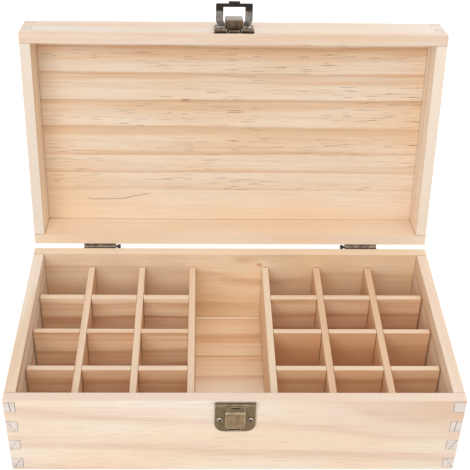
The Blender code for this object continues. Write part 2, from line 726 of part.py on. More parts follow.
def bail(metal):
    """Stamped loop that hangs from the hood and hooks under the lever's lip."""
    half = BAIL_WIDTH / 2
    inner = BAIL_WINDOW_WIDTH / 2
    eye_end = HOOD_WIDTH / 2 + KNUCKLE_GAP
    eye_low = BAIL_PIVOT_Z - BAIL_EYE_RADIUS
    eye_high = BAIL_PIVOT_Z + BAIL_EYE_RADIUS
    shoulder = BAIL_CORNER_RADIUS
    right = [(inner, BAR_TOP_Z), (inner, eye_low - BAIL_EYE_RADIUS), (eye_end, eye_low),
             (eye_end, eye_high)]
    right += arc((half - shoulder, eye_high - shoulder), shoulder, 90, 0, CORNER_STEPS)
    corner = BAIL_TOP_CORNER_RADIUS
    right += arc((half - corner, BAR_BOTTOM_Z + corner), corner, 0, -90,
                 SMALL_CORNER_STEPS)
    outline = right + [(-across, height) for across, height in reversed(right)]
    near = front(BAIL_PIVOT_STAND - BAIL_THICKNESS / 2)
    far = front(BAIL_PIVOT_STAND + BAIL_THICKNESS / 2)
    loop = prism("latch_bail", outline, "Y", far, near, metal)
    stub_start = HOOD_WIDTH / 2 - METAL_THICKNESS
    stub_end = eye_end + BAIL_EYE_RADIUS
    centre = (front(BAIL_PIVOT_STAND), BAIL_PIVOT_Z)
    stubs = [rod("stub", "X", centre, BAIL_PIVOT_RADIUS, low, high, sides=SMALL_CIRCLE_SIDES)
             for low, high in ((-stub_end, -stub_start), (stub_start, stub_end))]
    outer = BAIL_PIVOT_STAND + BAIL_THICKNESS / 2
    root = BAR_BOTTOM_Z + BAIL_TAB_THICKNESS / 2
    tip = BAR_BOTTOM_Z - BAIL_TAB_REACH
    tab_outline = [(front(outer - BAIL_TAB_THICKNESS), root), (front(outer), root + BAIL_TAB_THICKNESS),
                   (front(outer + BAIL_TAB_REACH), tip + BAIL_TAB_THICKNESS),
                   (front(outer + BAIL_TAB_REACH - BAIL_TAB_THICKNESS), tip)]
    tab = prism("tab", tab_outline, "X", -BAIL_TAB_WIDTH / 2, BAIL_TAB_WIDTH / 2)
    return round_shading(weld(loop, tab, *stubs))


def build():
    """Make every piece, then swing the moving ones to rest."""
    for old in list(bpy.data.objects):
        bpy.data.objects.remove(old)
    pine = material("Pine", (0.80, 0.62, 0.42), 0.62, 0.0)
    bronze = material("Antique bronze", (0.20, 0.16, 0.12), 0.42, 0.9)

    base = walls("base", 0, BASE_HEIGHT, pine)
    panel("base_bottom", 0, PANEL_THICKNESS, "below", base, pine)
    lid = walls("lid", LID_Z, TOP_Z, pine)
    lid_top = panel("lid_top", TOP_Z - PANEL_THICKNESS, TOP_Z, "above", lid, pine)

    left_grid = grid("left", -1, pine)
    right_grid = grid("right", 1, pine)

    left_hinge = hinge("left", -1, base["back"], lid["back"], bronze)
    right_hinge = hinge("right", 1, base["back"], lid["back"], bronze)

    plate = catch_plate(bronze)
    latch_screws("latch_catch", CATCH_SCREW_SPACING, BASE_HEIGHT - CATCH_SCREW_BELOW_RIM,
                 base["front"], plate, bronze)
    lever_pin(bronze)
    lever = latch_lever(bronze)
    hood_plate = bail_plate(bronze)
    lid_screws = latch_screws("latch_bail", BAIL_SCREW_SPACING, LID_Z + BAIL_SCREW_ABOVE_RIM,
                              lid["front"], hood_plate, bronze)
    loop = bail(bronze)
    for piece in (plate, hood_plate):
        round_shading(piece)

    lid_axis = pivot("lid_axis", (0, HINGE_Y, HINGE_Z), -LID_OPEN_DEGREES)
    hang(list(lid.values()) + [lid_top, hood_plate] + lid_screws, lid_axis)
    hang(left_hinge[1] + right_hinge[1], lid_axis)
    bail_axis = pivot("bail_axis", (0, front(BAIL_PIVOT_STAND), BAIL_PIVOT_Z),
                      -BAIL_REST_DEGREES, lid_axis)
    hang([loop], bail_axis)
    lever_axis = pivot("lever_axis", (0, front(LEVER_PIN_STAND), LEVER_PIN_Z), 0)
    hang([lever], lever_axis)
    for name, pieces in (("left_grid_seat", left_grid), ("right_grid_seat", right_grid)):
        hang(pieces, pivot(name, (0, 0, GRID_Z), 0))


build()
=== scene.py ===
import json
import math

import bpy
from mathutils import Matrix, Vector


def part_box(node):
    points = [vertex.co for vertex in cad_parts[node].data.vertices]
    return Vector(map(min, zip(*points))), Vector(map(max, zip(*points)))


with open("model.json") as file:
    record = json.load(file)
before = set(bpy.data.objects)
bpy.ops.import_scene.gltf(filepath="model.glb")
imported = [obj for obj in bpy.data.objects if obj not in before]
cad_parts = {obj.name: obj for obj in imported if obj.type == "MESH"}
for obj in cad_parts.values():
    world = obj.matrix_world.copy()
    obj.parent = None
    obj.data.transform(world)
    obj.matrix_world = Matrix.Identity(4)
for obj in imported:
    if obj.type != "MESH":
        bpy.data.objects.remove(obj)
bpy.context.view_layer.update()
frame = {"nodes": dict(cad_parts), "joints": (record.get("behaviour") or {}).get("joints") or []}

# Everything is in metres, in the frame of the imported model.
NODES = frame["nodes"]

# The lid's hinge, which turns the open lid back to the closed box
LID_JOINT = next(joint for joint in frame["joints"] if joint["name"] == "lid_hinge")
HINGE = Vector(LID_JOINT["pos_m"])
LID_TURN = math.radians(LID_JOINT["range_deg"][1])

# Places on the box that the wood's figure follows
BASE_LOW, BASE_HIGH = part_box("base_front")
BOX_HALF_WIDTH = BASE_HIGH.x
FLOOR_BACK = -BASE_HIGH.y
WALL = BASE_HIGH.y - BASE_LOW.y
FINGER_HEIGHT = 0.00865
FIRST_FINGER_UP = 0.0020
KNOT_X = 0.0218
KNOT_Z = 0.0545

# The sRGB curve: a straight part near black, and a power above it
FULL_VALUE = 255
STRAIGHT_END = 0.04045
STRAIGHT_SLOPE = 12.92
CURVE_OFFSET = 0.055
CURVE_POWER = 2.4


def linear(value):
    """The linear value that nodes use for a screen value of 0 to 255."""
    share = value / FULL_VALUE
    if share <= STRAIGHT_END:
        return share / STRAIGHT_SLOPE
    return ((share + CURVE_OFFSET) / (1 + CURVE_OFFSET)) ** CURVE_POWER


def srgb(red, green, blue):
    """A colour for nodes, given as it looks on a screen."""
    return (linear(red), linear(green), linear(blue), 1.0)


# The colour sockets of the mix node: factor and two colours, and the result
MIX_INPUTS = (0, 6, 7)
MIX_RESULT = 2


class Graph:
    """Adds nodes to one tree. A value that is a socket is linked, and any other is set."""

    def __init__(self, tree):
        self.tree = tree

    def put(self, socket, value):
        if isinstance(value, bpy.types.NodeSocket):
            self.tree.links.new(value, socket)
        else:
            socket.default_value = value

    def add(self, kind, inputs=None, **settings):
        node = self.tree.nodes.new(kind)
        for name, value in settings.items():
            setattr(node, name, value)
        for name, value in (inputs or {}).items():
            self.put(node.inputs[name], value)
        return node

    def math(self, operation, *values, clamp=False):
        node = self.add("ShaderNodeMath", operation=operation, use_clamp=clamp)
        for socket, value in zip(node.inputs, values):
            self.put(socket, value)
        return node.outputs[0]

    def product(self, first, *others):
        """The values multiplied together."""
        result = first
        for value in others:
            result = self.math("MULTIPLY", result, value)
        return result

    def vector(self, operation, *values):
        node = self.add("ShaderNodeVectorMath", operation=operation)
        for socket, value in zip(node.inputs, values):
            self.put(socket, value)
        return node.outputs[1 if operation in ("LENGTH", "DISTANCE", "DOT_PRODUCT") else 0]

    def split(self, vector):
        return self.add("ShaderNodeSeparateXYZ", {"Vector": vector}).outputs

    def join(self, x, y, z):
        return self.add("ShaderNodeCombineXYZ", {"X": x, "Y": y, "Z": z}).outputs[0]

    def step(self, value, start, end, low=0.0, high=1.0):
        """Goes smoothly from low to high as the value goes from start to end."""
        inputs = {"Value": value, "From Min": start, "From Max": end, "To Min": low, "To Max": high}
        return self.add("ShaderNodeMapRange", inputs, interpolation_type="SMOOTHSTEP").outputs[0]

    def noise(self, vector, detail=1.0, roughness=0.5):
        inputs = {"Vector": vector, "Scale": 1.0, "Detail": detail, "Roughness": roughness}
        return self.add("ShaderNodeTexNoise", inputs).outputs["Fac"]

    def even_noise(self, vector, rate, detail=1.0, roughness=0.5):
        """Noise with the same number of pieces per metre along every axis."""
        return self.noise(self.vector("MULTIPLY", vector, (rate,) * 3), detail, roughness)

    def chance(self, number):
        """The outputs of a fixed random value for each whole number."""
        return self.add("ShaderNodeTexWhiteNoise", {"W": number}, noise_dimensions="1D").outputs

    def mix(self, factor, first, second, blend="MIX"):
        node = self.add("ShaderNodeMix", data_type="RGBA", blend_type=blend, clamp_factor=True)
        for index, value in zip(MIX_INPUTS, (factor, first, second)):
            self.put(node.inputs[index], value)
        return node.outputs[MIX_RESULT]

    def shade(self, colour, grey):
        """The colour times a grey value."""
        return self.mix(1.0, colour, self.join(grey, grey, grey), "MULTIPLY")

    def openness(self, reach, samples):
        """1 in the open, and less in a corner or gap narrower than the reach."""
        return self.add("ShaderNodeAmbientOcclusion", {"Distance": reach}, samples=samples).outputs["AO"]

    def bump(self, height, strength, depth):
        inputs = {"Strength": strength, "Distance": depth, "Height": height}
        return self.add("ShaderNodeBump", inputs).outputs["Normal"]


def new_material(name):
    """An empty node material, with its graph and its Principled shader."""
    material = bpy.data.materials.new(name)
    material.use_nodes = True
    shader = material.node_tree.nodes["Principled BSDF"]
    return material, Graph(material.node_tree), shader


def put_material(name, material):
    """Replace the plain material of a CAD node."""
    for slot in NODES[name].material_slots:
        slot.material = material


# Inputs of the wood group with their kind and plain value. Lengths are along the grain, across the
# board's face or into the board. Tilt, Skew and Dip slant and bend the growth rings, and Drift makes
# them uneven. Edge is the share of a ring past its darkest line, and Gather narrows the late wood.
# Across the board, the figure is faint past Calm From.
WOOD_INPUTS = {
    "Board": ("NodeSocketVector", (0.0, 0.0, 0.0)),
    "Normal": ("NodeSocketVector", (0.0, 0.0, 1.0)),
    "Seed": ("NodeSocketFloat", 0.0),
    "Pith Across": ("NodeSocketFloat", 0.0),
    "Pith Depth": ("NodeSocketFloat", 0.03),
    "Ring Width": ("NodeSocketFloat", 0.012),
    "Skew": ("NodeSocketFloat", 0.0),
    "Phase": ("NodeSocketFloat", 0.0),
    "Tilt": ("NodeSocketFloat", 0.0),
    "Dip": ("NodeSocketFloat", 0.0),
    "Dip Along": ("NodeSocketFloat", 0.0),
    "Wander": ("NodeSocketFloat", 0.004),
    "Edge": ("NodeSocketFloat", 0.30),
    "Gather": ("NodeSocketFloat", 1.3),
    "Drift": ("NodeSocketFloat", 1.1),
    "Contrast": ("NodeSocketFloat", 1.0),
    "Ticks": ("NodeSocketFloat", 0.12),
    "Calm From": ("NodeSocketFloat", 1.0),
    "Knot": ("NodeSocketFloat", 0.0),
    "Knot Along": ("NodeSocketFloat", 0.0),
    "Knot Across": ("NodeSocketFloat", 0.0),
    "Line": ("NodeSocketFloat", 0.42),
    "Rim Share": ("NodeSocketFloat", 0.0),
    "Rim": ("NodeSocketColor", srgb(249, 230, 206)),
    "Early": ("NodeSocketColor", srgb(243, 224, 203)),
    "Late": ("NodeSocketColor", srgb(236, 205, 176)),
    "End": ("NodeSocketColor", srgb(230, 214, 201)),
}
WOOD_OUTPUTS = {"Color": "NodeSocketColor", "Height": "NodeSocketFloat", "Roughness": "NodeSocketFloat"}

# Noises of the wood: pieces per metre along, across and into the board, then detail and roughness
WANDERS = ((5.0, 18.0, 18.0), 1.0, 0.5)
RIPPLES = ((17.0, 60.0, 60.0), 1.0, 0.5)
STREAKS = ((6.0, 230.0, 230.0), 2.0, 0.6)
THREADS = ((13.0, 800.0, 800.0), 2.0, 0.6)
FIBRES = ((70.0, 2300.0, 2300.0), 1.0, 0.5)
TICKS = ((60.0, 2500.0, 2500.0), 0.0, 0.5)
CLUSTERS = ((9.0, 45.0, 45.0), 1.0, 0.5)
CLOUDS = ((7.0, 14.0, 14.0), 2.0, 0.5)
PORES = ((900.0, 900.0, 900.0), 2.0, 0.7)
NOISE_MIDDLE = 0.5
SEED_STEP = (3.71, 1.93, 2.57)

# Growth rings: how they wander, dip and vary
RIPPLE_SHARE = 0.22
SWAY_GAIN = 2.0
DIP_REACH = 0.055
DIP_HEIGHT = 0.070
DRIFT_RATE = 0.45
LATE_START = 0.05
LINE_LENGTH = 0.16
RING_TONES = (0.30, 0.70)
STREAK_SPAN = (0.25, 0.75)
STREAK_FORCE = (0.55, 1.45)
CALM_BLUR = 0.003
CALM_TONE = 0.12
EASE_SPAN = (0.045, 0.025)
EASED = 0.55

# Tones of the face: clouds, fine stripes and fibres
CLOUD_SPAN = (0.40, 0.66)
CLOUD_SHARE = 0.5
SALLOW = srgb(250, 231, 203)
THREAD_SHARE = 1.6
STRIPE_MIDDLE = 1.32
STRIPE_SHARE = 0.95
FIBRE_TONE = 0.16
LATE_LINE = srgb(205, 158, 116)

# Resin ticks, and the knot with a smear of resin beside it
CLUSTER_SPAN = (0.43, 0.55)
TICK_SPAN = (0.730, 0.752)
TICK_COLOUR = srgb(140, 90, 46)
KNOT_SIZE = 0.0055
KNOT_STRETCH = 0.75
KNOT_RINGS = 0.25
KNOT_CORE_SHARE = 0.5
KNOT_TONE = 0.75
KNOT_COLOUR = srgb(206, 132, 84)
SMEAR_FROM_KNOT = (-0.0115, 0.0045)
SMEAR_STRETCH = (0.5, 1.4, 1.0)
SMEAR_SIZE = 0.0070
SMEAR_TONE = 0.6
SMEAR_COLOUR = srgb(216, 180, 128)

# End grain and rims, and the surface
PORE_TONE = 0.30
LATE_END_TONE = 0.10
LATE_RIM_SHARE = 0.35
FACING_SPAN = (0.6, 0.8)
THREAD_HEIGHT = 0.7
FIBRE_HEIGHT = 0.5
ROUGH_GAIN = 0.16
ROUGH_LEAST = 0.54


class Pine:
    """The steps of the wood group, which share its graph and its inputs."""

    def __init__(self, graph):
        self.graph = graph
        self.given = graph.add("NodeGroupInput").outputs
        self.offset = graph.vector("SCALE", SEED_STEP)
        graph.put(self.offset.node.inputs["Scale"], self.given["Seed"])
        self.along, self.across, self.depth = graph.split(self.given["Board"])

    def figure(self, rate, detail, roughness):
        """Noise with its own rate along each axis of the board."""
        place = self.graph.vector("MULTIPLY", self.given["Board"], rate)
        return self.graph.noise(self.graph.vector("ADD", place, self.offset), detail, roughness)

    def less(self, value, name):
        """The value less one of the group's inputs."""
        return self.graph.math("SUBTRACT", value, self.given[name])

    def centred(self, noise):
        """The noise less its middle value."""
        return self.graph.math("SUBTRACT", noise, NOISE_MIDDLE)

    def tone(self, noise, share):
        """A grey near 1 that varies with the noise."""
        return self.graph.math("MULTIPLY_ADD", self.centred(noise), share, 1.0)

    def from_knot(self):
        """How far a place is from the knot's middle."""
        along = self.graph.math("MULTIPLY", self.less(self.along, "Knot Along"), KNOT_STRETCH)
        across = self.less(self.across, "Knot Across")
        return self.graph.vector("LENGTH", self.graph.join(along, across, 0.0))

    def rings(self, knot_far):
        """The number of growth rings between the pith and a place."""
        graph, given = self.graph, self.given
        wander = self.centred(self.figure(*WANDERS))
        ripple = self.centred(self.figure(*RIPPLES))
        sway = graph.math("MULTIPLY_ADD", ripple, RIPPLE_SHARE, wander)
        sway = graph.product(sway, SWAY_GAIN, given["Wander"])
        from_dip = graph.math("ABSOLUTE", self.less(self.along, "Dip Along"))
        dip = graph.product(graph.step(from_dip, DIP_REACH, 0.0), given["Dip"],
                            graph.step(self.across, 0.0, DIP_HEIGHT))
        side = self.less(self.across, "Pith Across")
        side = graph.math("SUBTRACT", side, graph.math("MULTIPLY", self.along, given["Tilt"]))
        side = graph.math("ADD", side, dip)
        radius = graph.vector("LENGTH", graph.join(0.0, side, self.less(self.depth, "Pith Depth")))
        radius = graph.math("ADD", radius, sway)
        rings = graph.math("DIVIDE", radius, given["Ring Width"])
        rings = graph.math("MULTIPLY_ADD", side, given["Skew"], rings)
        knot = graph.math("MULTIPLY", graph.step(knot_far, KNOT_SIZE, 0.0), given["Knot"])
        rings = graph.math("MULTIPLY_ADD", knot, KNOT_RINGS, rings)
        slow = graph.join(graph.math("MULTIPLY", rings, DRIFT_RATE), 0.0, 0.0)
        drift = graph.noise(graph.vector("ADD", slow, self.offset))
        rings = graph.math("MULTIPLY_ADD", self.centred(drift), given["Drift"], rings)
        return self.less(rings, "Phase")

    def late_wood(self, rings, calm, streak):
        """The shares of late wood and of the thin line where it is darkest."""
        graph, given = self.graph, self.given
        season = graph.math("FRACT", rings)
        turn = graph.math("SUBTRACT", 1.0, given["Edge"])
        fall = graph.step(season, 1.0, turn)
        late = graph.math("MULTIPLY", graph.step(season, LATE_START, turn), fall)
        late = graph.math("POWER", late, given["Gather"])
        line_start = graph.math("SUBTRACT", turn, LINE_LENGTH)
        line = graph.math("MULTIPLY", graph.step(season, line_start, turn), fall)
        ring_tone = graph.chance(graph.math("FLOOR", rings))["Value"]
        ring_tone = graph.math("MULTIPLY_ADD", ring_tone, *RING_TONES)
        to_calm = graph.math("SUBTRACT", given["Calm From"], self.across)
        force = graph.product(ring_tone, given["Contrast"], calm,
                              graph.step(to_calm, *EASE_SPAN, 1.0, EASED))
        uneven = graph.math("MULTIPLY", graph.step(streak, *STREAK_SPAN, *STREAK_FORCE), force)
        late = graph.math("MULTIPLY", late, uneven)
        late = graph.math("MULTIPLY_ADD", graph.math("SUBTRACT", 1.0, calm), CALM_TONE, late)
        return late, graph.product(line, uneven, given["Line"])

    def marked(self, colour, calm, knot_far):
        """The colour with resin ticks, the knot and its smear."""
        graph, given = self.graph, self.given
        cluster = graph.step(self.figure(*CLUSTERS), *CLUSTER_SPAN)
        tick = graph.product(graph.step(self.figure(*TICKS), *TICK_SPAN), cluster, calm, given["Ticks"])
        colour = graph.mix(tick, colour, TICK_COLOUR)
        along = graph.math("SUBTRACT", self.less(self.along, "Knot Along"), SMEAR_FROM_KNOT[0])
        across = graph.math("SUBTRACT", self.less(self.across, "Knot Across"), SMEAR_FROM_KNOT[1])
        stretched = graph.vector("MULTIPLY", graph.join(along, across, 0.0), SMEAR_STRETCH)
        far = graph.vector("LENGTH", stretched)
        smear = graph.math("MULTIPLY", graph.step(far, SMEAR_SIZE, 0.0, 0.0, SMEAR_TONE), given["Knot"])
        colour = graph.mix(smear, colour, SMEAR_COLOUR)
        core = graph.step(knot_far, KNOT_SIZE * KNOT_CORE_SHARE, 0.0, 0.0, KNOT_TONE)
        return graph.mix(graph.math("MULTIPLY", core, given["Knot"]), colour, KNOT_COLOUR)

    def ended(self, colour, late):
        """The colour with the board's rim and its duller end grain."""
        graph, given = self.graph, self.given
        end_facing, rim_facing = graph.split(given["Normal"])[:2]
        rim_colour = graph.mix(graph.math("MULTIPLY", late, LATE_RIM_SHARE), given["Rim"], given["Late"])
        rim = graph.step(graph.math("ABSOLUTE", rim_facing), *FACING_SPAN)
        colour = graph.mix(graph.math("MULTIPLY", rim, given["Rim Share"]), colour, rim_colour)
        end_tone = self.tone(self.figure(*PORES), PORE_TONE)
        end_tone = graph.math("SUBTRACT", end_tone, graph.math("MULTIPLY", late, LATE_END_TONE))
        end = graph.step(graph.math("ABSOLUTE", end_facing), *FACING_SPAN)
        return graph.mix(end, colour, graph.shade(given["End"], end_tone))


def wood_group():
    """Pine cut from a log: growth rings round a pith, fibres, resin ticks, and duller end grain."""
    tree = bpy.data.node_groups.new("Pine", "ShaderNodeTree")
    for name, (kind, value) in WOOD_INPUTS.items():
        tree.interface.new_socket(name, in_out="INPUT", socket_type=kind).default_value = value
    for name, kind in WOOD_OUTPUTS.items():
        tree.interface.new_socket(name, in_out="OUTPUT", socket_type=kind)
    graph = Graph(tree)
    pine = Pine(graph)
    given = pine.given
    streak = pine.figure(*STREAKS)
    thread = pine.figure(*THREADS)
    fibre = pine.figure(*FIBRES)

    knot_far = pine.from_knot()
    calm_edge = graph.math("SUBTRACT", given["Calm From"], CALM_BLUR)
    calm = graph.step(pine.across, given["Calm From"], calm_edge)
    late, line = pine.late_wood(pine.rings(knot_far), calm, streak)

    cloud = graph.step(pine.figure(*CLOUDS), *CLOUD_SPAN, 0.0, CLOUD_SHARE)
    colour = graph.mix(cloud, given["Early"], SALLOW, "MULTIPLY")
    stripes = graph.math("ADD", streak, graph.math("MULTIPLY", thread, THREAD_SHARE))
    stripes = graph.math("SUBTRACT", stripes, STRIPE_MIDDLE)
    late = graph.math("MULTIPLY_ADD", stripes, STRIPE_SHARE, late, clamp=True)
    colour = graph.mix(late, colour, given["Late"])
    colour = graph.mix(line, colour, LATE_LINE)
    colour = graph.shade(colour, pine.tone(fibre, FIBRE_TONE))
    colour = pine.ended(pine.marked(colour, calm, knot_far), late)

    height = graph.math("MULTIPLY_ADD", thread, THREAD_HEIGHT,
                        graph.math("MULTIPLY", fibre, FIBRE_HEIGHT))
    result = graph.add("NodeGroupOutput").inputs
    graph.put(result["Color"], colour)
    graph.put(result["Height"], height)
    graph.put(result["Roughness"], graph.math("MULTIPLY_ADD", fibre, ROUGH_GAIN, ROUGH_LEAST))
    return tree


WOOD = wood_group()
WOOD_SHEEN = 0.28
WOOD_BUMP = 0.5
BUMP_DEPTH = 0.00012
# Painted shade: boards darken in corners and narrow gaps, where shade falls
CREASE_SHADE_REACH = 0.0016
CREASE_SHADE_SAMPLES = 6
CREASE_SHADE_SPAN = (0.70, 0.35)
CREASE_SHADE_TONE = 0.65
CREASE_SHADE_COLOUR = srgb(120, 82, 55)

# Axes of a board: along the grain, across the face and into the board
FRONT_AXES = "XZY"
SIDE_AXES = "YZX"
FLAT_AXES = "XYZ"


def closed_place(graph, vector, is_lid, is_direction=False):
    """A place or direction on the open lid, as it is when the box is shut."""
    if not is_lid:
        return vector
    turn = Matrix.Rotation(LID_TURN, 3, "X")
    inputs = {"Vector": vector, "Rotation": (LID_TURN, 0.0, 0.0)}
    if is_direction:
        return graph.add("ShaderNodeMapping", inputs, vector_type="VECTOR").outputs[0]
    inputs["Location"] = HINGE - turn @ HINGE
    return graph.add("ShaderNodeMapping", inputs, vector_type="POINT").outputs[0]


def on_board(graph, vector, axes):
    """The vector in the board's own axes."""
    parts = graph.split(vector)
    return graph.join(*[parts["XYZ".index(axis)] for axis in axes])


def wood_material(name, axes, is_lid, figure, detail=None):
    """Pine for one board, with the figure that its inputs describe and its own detail."""
    material, graph, shader = new_material(name)
    place = graph.add("ShaderNodeTexCoord").outputs
    closed = closed_place(graph, place["Object"], is_lid)
    facing = closed_place(graph, place["Normal"], is_lid, True)
    inputs = {"Board": on_board(graph, closed, axes), "Normal": on_board(graph, facing, axes)}
    inputs.update(figure)
    wood = graph.add("ShaderNodeGroup", node_tree=WOOD)
    for key, value in inputs.items():
        graph.put(wood.inputs[key], value)
    colour = wood.outputs["Color"]
    if detail:
        colour = detail(graph, closed, facing, colour)
    # Painted shade in the corners and gaps between boards
    crease_shade = graph.step(graph.openness(CREASE_SHADE_REACH, CREASE_SHADE_SAMPLES), *CREASE_SHADE_SPAN, 0.0, CREASE_SHADE_TONE)
    graph.put(shader.inputs["Base Color"], graph.mix(crease_shade, colour, CREASE_SHADE_COLOUR))
    graph.put(shader.inputs["Roughness"], wood.outputs["Roughness"])
    graph.put(shader.inputs["Normal"], graph.bump(wood.outputs["Height"], WOOD_BUMP, BUMP_DEPTH))
    shader.inputs["Specular IOR Level"].default_value = WOOD_SHEEN
    return material


# Marks of the joint cutter on the fingers' ends
MARK_COLOUR = srgb(140, 120, 109)
MARK_WIDTH = 0.0005
MARK_SLANT = 2.0 * WALL
MARK_FROM_SIDE = WALL * 2 / 3
MARK_SPREAD = WALL / 3
MARK_FACING = (0.7, 0.9)
MARK_CHANCE = (0.2, 0.6)
MARK_BREAKS = 330.0
MARK_BREAK_SPAN = (0.30, 0.48)


def cutter_marks(graph, closed, facing, colour):
    """Thin dark marks that the joint cutter left, slanted differently on each finger's end."""
    x, _, z = graph.split(closed)
    finger = graph.math("DIVIDE", graph.math("SUBTRACT", z, FIRST_FINGER_UP), FINGER_HEIGHT)
    up = graph.math("SUBTRACT", graph.math("FRACT", finger), 0.5)
    number = graph.math("ADD", graph.math("FLOOR", finger), graph.math("SIGN", x))
    drawn = graph.add("ShaderNodeSeparateColor", {"Color": graph.chance(number)["Color"]}).outputs
    slope = graph.math("MULTIPLY", graph.math("SUBTRACT", drawn["Red"], 0.5), MARK_SLANT)
    centre = graph.math("MULTIPLY_ADD", drawn["Green"], MARK_SPREAD, BOX_HALF_WIDTH - MARK_FROM_SIDE)
    from_line = graph.math("SUBTRACT", graph.math("ABSOLUTE", x), centre)
    from_line = graph.math("SUBTRACT", from_line, graph.math("MULTIPLY", up, slope))
    mark = graph.step(graph.math("ABSOLUTE", from_line), MARK_WIDTH, 0.0)
    end = graph.step(graph.math("ABSOLUTE", graph.split(facing)[1]), *MARK_FACING)
    broken = graph.step(graph.even_noise(closed, MARK_BREAKS), *MARK_BREAK_SPAN)
    mark = graph.product(mark, end, graph.step(drawn["Blue"], *MARK_CHANCE), broken)
    return graph.mix(mark, colour, MARK_COLOUR)


# Span of a face's direction over which it comes to count as turned against an axis
AGAINST_SPAN = (-0.6, -0.8)

# The front's pinker patch: where it starts and where it is full, along X and along Z
BLUSH_X = (-0.010, 0.150)
BLUSH_Z = (0.020, 0.060)
BLUSH_SHARE = 0.90
BLUSH_COLOUR = srgb(228, 194, 168)


def front_blush(graph, closed, facing, colour):
    """A pinker patch at the front's upper right."""
    x, _, z = graph.split(closed)
    patch = graph.math("MULTIPLY", graph.step(x, *BLUSH_X), graph.step(z, *BLUSH_Z))
    out = graph.step(graph.split(facing)[1], *AGAINST_SPAN, 0.0, BLUSH_SHARE)
    return graph.mix(graph.math("MULTIPLY", patch, out), colour, BLUSH_COLOUR)


# The floor of the box: a pale band at its back edge, and where the paler front end, painted light in the
# front wall's shade, starts and is full
EDGE_DEPTH = 0.0032
EDGE_BLUR = 0.0004
EDGE_COLOUR = srgb(252, 232, 206)
FRONT_PAINTED_LIGHT_Y = (0.014, -0.012)
FRONT_PAINTED_LIGHT_SHARE = 0.75
FRONT_PAINTED_LIGHT_COLOUR = srgb(255, 243, 226)


def floor_band_and_painted_light(graph, closed, facing, colour):
    """A pale band along the back of the floor, and a paler front end painted as light in the front wall's
    shade.
    """
    y = graph.split(closed)[1]
    # Painted light: the front end is paler where the front wall's shade falls
    colour = graph.mix(graph.step(y, *FRONT_PAINTED_LIGHT_Y, 0.0, FRONT_PAINTED_LIGHT_SHARE), colour, FRONT_PAINTED_LIGHT_COLOUR)
    start = FLOOR_BACK - EDGE_DEPTH
    return graph.mix(graph.step(y, start, start + EDGE_BLUR), colour, EDGE_COLOUR)


# The vein on the lid's panel: it runs along X from one end past a bend to the other
VEIN_FROM = -0.1121
VEIN_BEND = -0.0847
VEIN_TO = -0.0591
VEIN_ACROSS = 0.0561
VEIN_SLOPE = -0.211
VEIN_FADE = 0.006
VEIN_WIDTH = 0.0006
VEIN_RATE = 160.0
VEIN_WOBBLE = 0.0016
VEIN_SHARE = 0.75
VEIN_COLOUR = srgb(150, 118, 96)


def panel_vein(graph, closed, facing, colour):
    """One thin dark vein on the inside of the lid's panel."""
    x, y = graph.split(closed)[:2]
    past_bend = graph.math("MAXIMUM", graph.math("SUBTRACT", x, VEIN_BEND), 0.0)
    line = graph.math("MULTIPLY_ADD", past_bend, VEIN_SLOPE, VEIN_ACROSS)
    wobble = graph.math("SUBTRACT", graph.even_noise(closed, VEIN_RATE), NOISE_MIDDLE)
    line = graph.math("MULTIPLY_ADD", wobble, VEIN_WOBBLE, line)
    far = graph.math("ABSOLUTE", graph.math("SUBTRACT", y, line))
    mark = graph.product(graph.step(far, VEIN_WIDTH, 0.0, 0.0, VEIN_SHARE),
                         graph.step(x, VEIN_FROM, VEIN_FROM + VEIN_FADE),
                         graph.step(x, VEIN_TO, VEIN_TO - VEIN_FADE),
                         graph.step(graph.split(facing)[2], *AGAINST_SPAN))
    return graph.mix(mark, colour, VEIN_COLOUR)


# Tones of the walls and panels
CREAM = srgb(248, 235, 219)
FRONT_CREAM = srgb(246, 231, 213)
PALE = srgb(245, 227, 207)
PINK_BAND = srgb(239, 211, 191)
PINK_TAN = srgb(236, 205, 178)
PANEL_CREAM = srgb(244, 225, 203)
PANEL_TAN = srgb(232, 198, 162)
LID_GREY = srgb(238, 227, 216)
WARM = srgb(238, 208, 176)
HONEY = srgb(248, 225, 193)
HONEY_TAN = srgb(239, 207, 171)
FLOOR_EARLY = srgb(244, 219, 190)
FLOOR_LATE = srgb(230, 190, 150)
BACK_PALE = srgb(243, 222, 199)
BACK_WARM = srgb(239, 212, 183)
SIDE_PALE = srgb(250, 237, 220)
SIDE_WARM = srgb(244, 218, 190)

# Tones of the dividers and strips
CELL_HONEY = srgb(240, 204, 168)
CELL_WARM = srgb(238, 200, 163)
CELL_CREAM = srgb(252, 228, 199)
CELL_RUST = srgb(228, 185, 146)
CELL_LATE = srgb(222, 172, 130)

# Tones of rims and end grain
RIM_PALE = srgb(244, 225, 204)
RIM_GREY = srgb(237, 222, 206)
RIM_BUFF = srgb(237, 214, 188)
RIM_TAN = srgb(234, 207, 180)
RIM_BROWN = srgb(227, 195, 162)
RIM_PINK = srgb(235, 212, 193)
END_LILAC = srgb(233, 220, 211)
END_BUFF = srgb(228, 198, 166)

